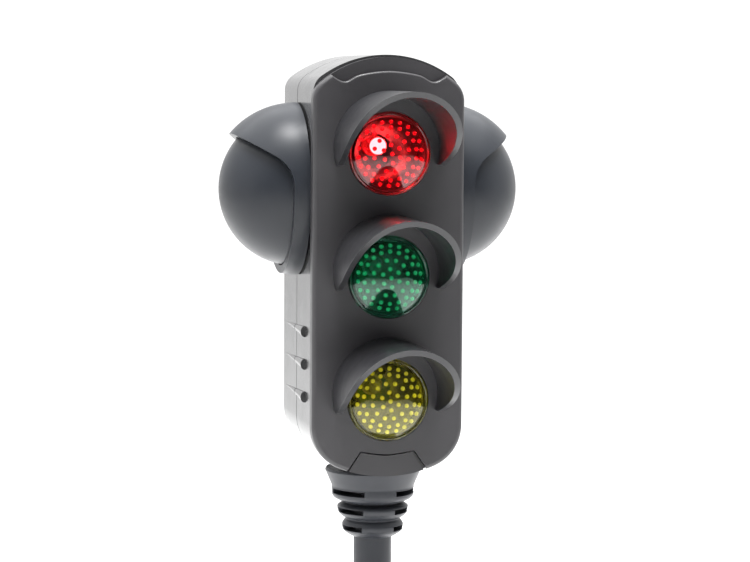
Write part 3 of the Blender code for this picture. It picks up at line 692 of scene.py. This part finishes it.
def make_housing_front():
    low, high, _ = place_of("housing_front")
    shell = prism("housing_shell_front", tongue(**HOUSE_SHAPE), low.y, high.y)
    cut(shell, prism("hollow", tongue(**HOUSE_SHAPE, inset=WALL), low.y + WALL, high.y + 1))
    for x, z in POSTS:
        for side in (-1, 1):
            join(shell, rod("post", 2.0, (side * x, low.y + 0.7, z), (side * x, high.y - 0.1, z)))
            cut(shell, rod("pilot", 1.05, (side * x, SEAM - 8, z), (side * x, SEAM + 1, z), sides=24))
    for x, z in BOARD_POSTS:
        join(shell, rod("board_post", 1.8, (x, low.y + 0.7, z), (x, BOARD_FRONT - GAP, z)))
        cut(shell, rod("board_pilot", 1.0, (x, -26, z), (x, BOARD_FRONT + 1, z), sides=24))
    for z in LENS_Z.values():
        cut(shell, rod("port", 8.1, (0, low.y - 1, z), (0, low.y + WALL + 1, z), sides=96))
    add_seam_details(shell, RIB_FRONT, high.y - 0.05)
    shell = soften(settle(shell), 0.12, 2)
    return part("housing_shell_front", shell, "housing_plastic", ("housing_front",))


def make_housing_rear():
    low, high, _ = place_of("housing_rear")
    rings = [(low.y, 0.0)] + [(high.y - REAR_ROUND * (1 - math.sin(a)), REAR_ROUND * (1 - math.cos(a)))
                              for a in fan(math.pi / 2, 10)]
    shell = lofted("housing_shell_rear", [(y, tongue(**HOUSE_SHAPE, inset=inset)) for y, inset in rings])
    cut(shell, prism("hollow", tongue(**HOUSE_SHAPE, inset=WALL), low.y - 1, high.y - WALL))
    for x, z in POSTS:
        for side in (-1, 1):
            join(shell, rod("pillar", 3.2, (side * x, low.y + 0.1, z), (side * x, high.y - 1.2, z)))
            cut(shell, rod("bore", 1.25, (side * x, low.y - 1, z), (side * x, high.y - 8, z), sides=24),
                rod("well", 2.3, (side * x, high.y - 9, z), (side * x, high.y + 1, z)))
    add_seam_details(shell, low.y + 0.05, RIB_BACK)
    shell = soften(settle(shell), 0.12, 2)
    return part("housing_shell_rear", shell, "housing_plastic", ("housing_rear",))


def section(radius, low, high, count):
    """Points on a sphere's section, from the height high down to the height low."""
    return [(radius * math.sin(a) if a > 1e-6 else 0.0, radius * math.cos(a))
            for a in fan(math.acos(low / radius), count, math.acos(min(1.0, high / radius)))]


def make_dome(word, side):
    inner = DOME_R - DOME_WALL
    profile = (section(DOME_R, 1.1, DOME_R, 40) + section(inner, 1.1, math.sqrt(inner ** 2 - 4), 24)[::-1]
               + [(2.0, -2.1), (3.2, -2.1), (3.2, -3.1), (0, -3.1)])
    dome = turned("dome", profile, (side * DOME_X, SEAM, DOME_Z), "X" if side > 0 else "-X", steps=128)
    return part(f"dome_{word}_ball", soften(dome, 0.15), "dome_plastic", ("dome_" + word,))


def make_hood(word, side):
    inner, plate = HOOD_R - HOOD_WALL, 0.8
    profile = (section(HOOD_R, 0, HOOD_R, 40) + [(2.3, 0), (2.3, plate)]
               + section(inner, plate, inner, 36)[::-1])
    hood = turned("hood", profile, (side * DOME_X, SEAM, DOME_Z), "X" if side > 0 else "-X", steps=128)
    ring, edge_low, slope, fillet = 2.9, 4.5, 0.6, 3.0
    reach = HOOD_R + 2
    rise, along = edge_low + slope * (reach - ring), edge_low + slope * fillet
    corners = (bowed((ring, edge_low - 1.2 * fillet), (ring, edge_low), (ring + fillet, along), 12)
               + [(reach, rise), (reach, -reach), (ring, -reach)])
    points = [(side * (DOME_X + x), DOME_Z + z) for x, z in corners]
    cut(hood, prism("opening", points, SEAM - reach, SEAM + reach))
    hood = soften(settle(hood), 0.3, 4, angle=40)
    return part(f"hood_{word}_cowl", hood, "dome_plastic", ("hood_" + word,))


def make_boot():
    """A flared collar and three bowl-shaped lobes, each slotted between four lengthwise ribs."""
    rounded = through([(7.5, -40.4), (7.45, -42.0), (7.0, -42.7), (6.1, -43.15), (5.2, -43.45)], 4)
    rounded += through([(5.2, -43.55), (6.1, -43.95), (6.5, -44.4), (6.3, -45.3), (5.75, -45.95),
                        (4.95, -46.45)], 4)
    rounded += through([(4.95, -46.65), (5.35, -47.1), (5.6, -47.7), (5.4, -48.6), (4.6, -49.3),
                        (3.7, BOOT_END)], 4)
    flange = [(0, -33.5), (5.2, -33.5), (5.2, -34.3), (4.0, -34.3), (4.0, -37.2)]
    profile = flange + [(8.5, -37.2), (8.7, -37.6)] + rounded + [(0, BOOT_END)]
    boot = turned("boot", profile, (0, BOOT_Y, 0), "Z", steps=120)
    for i, z in enumerate(BOOT_SLOTS):
        for side in (-1, 1):
            for face in (-1, 1):
                low_x, high_x = sorted((side * BOOT_RIB_X, side * 9.0))
                low_y, high_y = sorted((face * BOOT_RIB_Y, face * 9.0))
                slot = box("slot", (low_x, BOOT_Y + low_y, z - SLOT_HALF),
                           (high_x, BOOT_Y + high_y, z + SLOT_HALF))
                cut(slot, rod("slot_core", BOOT_CORE - BOOT_TAPER * i, (0, BOOT_Y, z - 2),
                              (0, BOOT_Y, z + 2)))
                cut(boot, settle(slot))
    boot = soften(settle(boot), 0.08, 2, angle=35)
    return part("cable_boot", boot, "cable_jacket", ("strain_relief",))


def make_screws():
    """Pan-head screws at the bottom of the wells in the back, each with a cross recess."""
    for i in range(1, 5):
        low, high, middle = place_of(f"housing_screw_{i}")
        head = [(2.0 * math.sin(a), 0.55 * math.cos(a) - 0.55) for a in fan(math.pi / 2, 10)]
        profile = head + [(2.0, -1.3), (0.75, -1.3), (0.75, 0.6 - (high.y - low.y)), (0, low.y - high.y)]
        screw = turned("screw", profile, (middle.x, high.y, middle.z), "Y", steps=48)
        for along in ((1.1, 0.28), (0.28, 1.1)):
            cut(screw, box("cross", (middle.x - along[0], high.y - 0.75, middle.z - along[1]),
                           (middle.x + along[0], high.y + 0.3, middle.z + along[1])))
        part(f"rear_screw_{i}", soften(settle(screw), 0.05, 2), "screw_steel", (f"housing_screw_{i}",))


def make_plug():
    low, high, middle = place_of("plug_body")
    wide, thick = (high.x - low.x) / 2, (high.y - low.y) / 2
    shell_low, shell_high, _ = place_of("plug_shell")
    outline = rounded_box(wide, thick, 1.8)
    levels = [(low.z, 0.9), (low.z + 0.35, 0.955), (low.z + 1.0, 1.0), (high.z - 6.0, 1.0),
              (high.z - 3.0, 0.95), (high.z - 1.2, 0.85), (high.z - 0.3, 0.74), (high.z, 0.66)]
    points = [(middle.x + x * k, middle.y + y * k, z) for z, k in levels for x, y in outline]
    body = skin("plug_grip", points, len(outline))
    cut(body, box("pocket", (shell_low.x - GAP, shell_low.y - GAP, low.z - 1),
                  (shell_high.x + GAP, shell_high.y + GAP, shell_high.z + GAP)))
    for side in (-1, 1):
        near, far = sorted((middle.y + side * thick - side * 0.5, middle.y + side * thick + side * 0.2))
        for i in range(5):
            z = low.z + 6 + 2.0 * i
            cut(body, box("grip_groove", (middle.x - 4.5, near, z - 0.45), (middle.x + 4.5, far, z + 0.45)))
    part("plug_grip", soften(settle(body), 0.2, 2), "cable_jacket", ("plug_body",))

    wall = 0.45
    shell = box("plug_sleeve", shell_low, shell_high)
    cut(shell, box("hollow", (shell_low.x + wall, shell_low.y + wall, shell_low.z - 1),
                   (shell_high.x - wall, shell_high.y - wall, shell_high.z - wall)))
    window_top = shell_low.z + 8.4
    for x in (-2.4, 2.4):
        cut(shell, box("window", (middle.x + x - 1.2, shell_low.y - 1, window_top - 2.4),
                       (middle.x + x + 1.2, shell_low.y + 0.6, window_top)),
            box("window", (middle.x + x - 1.2, shell_high.y - 0.6, window_top - 2.4),
                (middle.x + x + 1.2, shell_high.y + 1, window_top)))
    part("plug_sleeve", soften(settle(shell), 0.12, 2), "plug_metal", ("plug_shell",))


def finish_cad_pieces():
    """The CAD pieces that keep their own shape get their materials."""
    slots = {row["node"]: row["material_slot"] for row in frame["record"]["subparts"]}
    for node, thing in frame["nodes"].items():
        if thing.hide_render:
            continue
        thing.data.materials.clear()
        thing.data.materials.append(FINISHES[slots[node]])


# ---- floor and light ----

def make_stage():
    floor_z = cad_box[0].z - 0.0015
    bpy.ops.mesh.primitive_plane_add(size=6, location=(0, 0, floor_z))
    floor = bpy.context.object
    floor.name = "floor"
    floor.data.materials.append(finish("floor", (0.86, 0.86, 0.86), 0.6, vary=0.01, bump=0))
    world = bpy.data.worlds.new("studio")
    bpy.context.scene.world = world
    world.use_nodes = True
    tree = world.node_tree
    back = tree.nodes["Background"]
    back.inputs["Strength"].default_value = 1.15
    # White all round, but a dark room in front of the lights above the table's height
    coords = tree.nodes.new("ShaderNodeTexCoord")
    parts = tree.nodes.new("ShaderNodeSeparateXYZ")
    tree.links.new(coords.outputs["Generated"], parts.inputs["Vector"])
    forward = tree.nodes.new("ShaderNodeMapRange")
    forward.interpolation_type = "SMOOTHSTEP"
    forward.inputs["From Min"].default_value, forward.inputs["From Max"].default_value = -0.15, -0.60
    tree.links.new(parts.outputs["Y"], forward.inputs["Value"])
    above = tree.nodes.new("ShaderNodeMapRange")
    above.interpolation_type = "SMOOTHSTEP"
    above.inputs["From Min"].default_value, above.inputs["From Max"].default_value = 0.75, 0.45
    tree.links.new(parts.outputs["Z"], above.inputs["Value"])
    both = tree.nodes.new("ShaderNodeMath")
    both.operation = "MULTIPLY"
    tree.links.new(forward.outputs["Result"], both.inputs[0])
    tree.links.new(above.outputs["Result"], both.inputs[1])
    seen = tree.nodes.new("ShaderNodeLightPath")
    unseen = tree.nodes.new("ShaderNodeMath")
    unseen.operation = "SUBTRACT"
    unseen.use_clamp = True
    tree.links.new(both.outputs["Value"], unseen.inputs[0])
    tree.links.new(seen.outputs["Is Camera Ray"], unseen.inputs[1])
    mix = tree.nodes.new("ShaderNodeMix")
    mix.data_type = "RGBA"
    mix.inputs[6].default_value, mix.inputs[7].default_value = (1, 1, 1, 1), (0.10, 0.10, 0.11, 1)
    tree.links.new(unseen.outputs["Value"], mix.inputs[0])
    tree.links.new(mix.outputs[2], back.inputs["Color"])
    bpy.context.scene.view_settings.view_transform = "Standard"


def area_light(name, location, target, size, power):
    data = bpy.data.lights.new(name, "AREA")
    data.shape, data.size, data.energy = "SQUARE", size, power
    light = link(bpy.data.objects.new(name, data))
    light.location = location
    light.rotation_euler = (Vector(target) - Vector(location)).to_track_quat("-Z", "Y").to_euler()
    light.visible_camera = False
    return light


def make_lights():
    front = area_light("softbox_front", (0.0, -0.35, 0.95), (0, -0.35, 0), 0.7, 30.0)
    front.visible_glossy = False
    area_light("softbox_high", (-0.10, -0.10, 0.90), (0, 0, 0), 0.3, 8.0)
    area_light("softbox_wide", (0.0, 0.6, 1.6), (0, 0.6, 0), 3.2, 60.0)


FINISHES = make_finishes()
make_camera()
make_cable()
make_tie()
make_plug()
make_panel()
make_housing_front()
make_housing_rear()
for light_colour in COLOURS:
    make_visor(light_colour)
    make_lens(light_colour)
    make_reflector(light_colour)
    make_led(light_colour)
for hand, hand_side in (("left", -1), ("right", 1)):
    make_dome(hand, hand_side)
    make_hood(hand, hand_side)
make_boot()
make_screws()
finish_cad_pieces()
make_stage()
make_lights()
